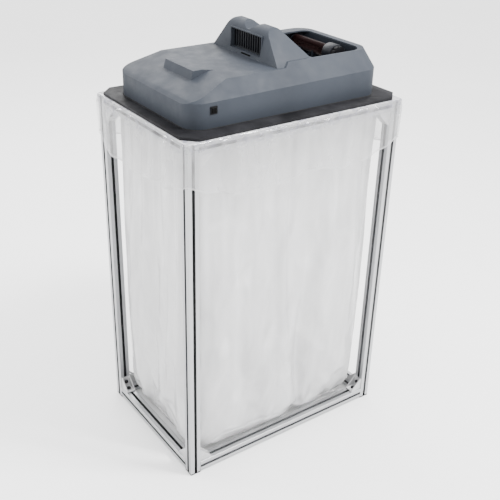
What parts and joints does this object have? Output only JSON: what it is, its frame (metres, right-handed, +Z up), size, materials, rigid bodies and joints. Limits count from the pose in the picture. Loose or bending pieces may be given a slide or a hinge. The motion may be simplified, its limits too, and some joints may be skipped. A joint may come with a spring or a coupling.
{
  "type": "dust collector",
  "caption": "Free-standing bag dust collector: a slotted aluminium frame holds a clear liner bag under a lid plate with a moulded blower hood and cartridge filter.",
  "frame": {"origin": "on the floor, under the middle of the frame", "axes": "+X along the long side towards the filter end, +Y away from the push-button side, +Z up"},
  "size_m": [0.64, 0.44, 1.1191],
  "materials": {
    "aluminium_profile": "satin anodised",
    "cast_bracket": "die cast, matt",
    "black_steel": "black oxide",
    "plain_steel": "zinc plated",
    "zinc_steel": "zinc plated",
    "stator_steel": "laminated",
    "brass_contact": "plain",
    "black_plastic": "fine texture",
    "button_plastic": "fine texture",
    "dark_plastic": "moulded",
    "tub_plastic": "moulded",
    "pale_plastic": "moulded",
    "grey_plastic": "fine moulded grain",
    "black_panel": "satin sheet",
    "foam_rubber": "closed-cell foam",
    "clear_film": "clear film",
    "filter_paper": "pleated, resin treated"
  },
  "bodies": {
    "frame": {"post_front_left": "aluminium_profile", "post_front_right": "aluminium_profile", "post_rear_left": "aluminium_profile", "post_rear_right": "aluminium_profile", "top_rail_front": "aluminium_profile", "top_rail_rear": "aluminium_profile", "top_rail_left": "aluminium_profile", "top_rail_right": "aluminium_profile", "bottom_rail_front": "aluminium_profile", "bottom_rail_rear": "aluminium_profile", "bottom_rail_left": "aluminium_profile", "bottom_rail_right": "aluminium_profile", "top_brackets": "cast_bracket", "bottom_brackets": "cast_bracket", "bracket_bolts": "black_steel", "slot_nuts": "plain_steel", "foot_caps": "black_plastic", "dust_bag": "clear_film"},
    "head": {"lid_plate": "black_panel", "locating_blocks": "black_plastic", "lid_seal": "foam_rubber", "hood_screws": "plain_steel", "hood_seal": "foam_rubber", "hood_shell": "grey_plastic", "intake_grille": "dark_plastic", "filter_well": "tub_plastic", "return_duct": "dark_plastic", "filter_cradles": "tub_plastic", "blower_housing": "dark_plastic", "blower_cover": "dark_plastic", "motor_can": "zinc_steel", "motor_bearings": "plain_steel", "motor_stator": "stator_steel", "button_bezel": "black_plastic", "switch_contacts": "brass_contact", "status_strip": "button_plastic", "power_inlet": "black_plastic", "inlet_blades": "brass_contact"},
    "rotor": {"impeller": "dark_plastic", "motor_shaft": "plain_steel", "motor_rotor": "stator_steel"},
    "cartridge": {"filter_media": "filter_paper", "filter_core": "zinc_steel", "filter_end_ring": "pale_plastic", "filter_grip": "black_plastic", "filter_collar": "pale_plastic"},
    "button": {"power_button": "button_plastic"}
  },
  "joints": [
    {"name": "head_lift", "type": "slide", "parent": "frame", "child": "head", "axis": [0, 0, 1], "range_m": [0, 0.2]},
    {"name": "fan_spin", "type": "hinge", "parent": "head", "child": "rotor", "pos_m": [-0.1, 0, 0.97], "axis": [0, 0, 1], "continuous": true},
    {"name": "filter_slide", "type": "slide", "parent": "head", "child": "cartridge", "axis": [0, -1, 0], "range_m": [0, 0.03]},
    {"name": "button_press", "type": "slide", "parent": "head", "child": "button", "axis": [0, 1, 0], "range_m": [0, 0.002], "stiffness_N_per_m": 800, "springref_m": -0.001}
  ]
}
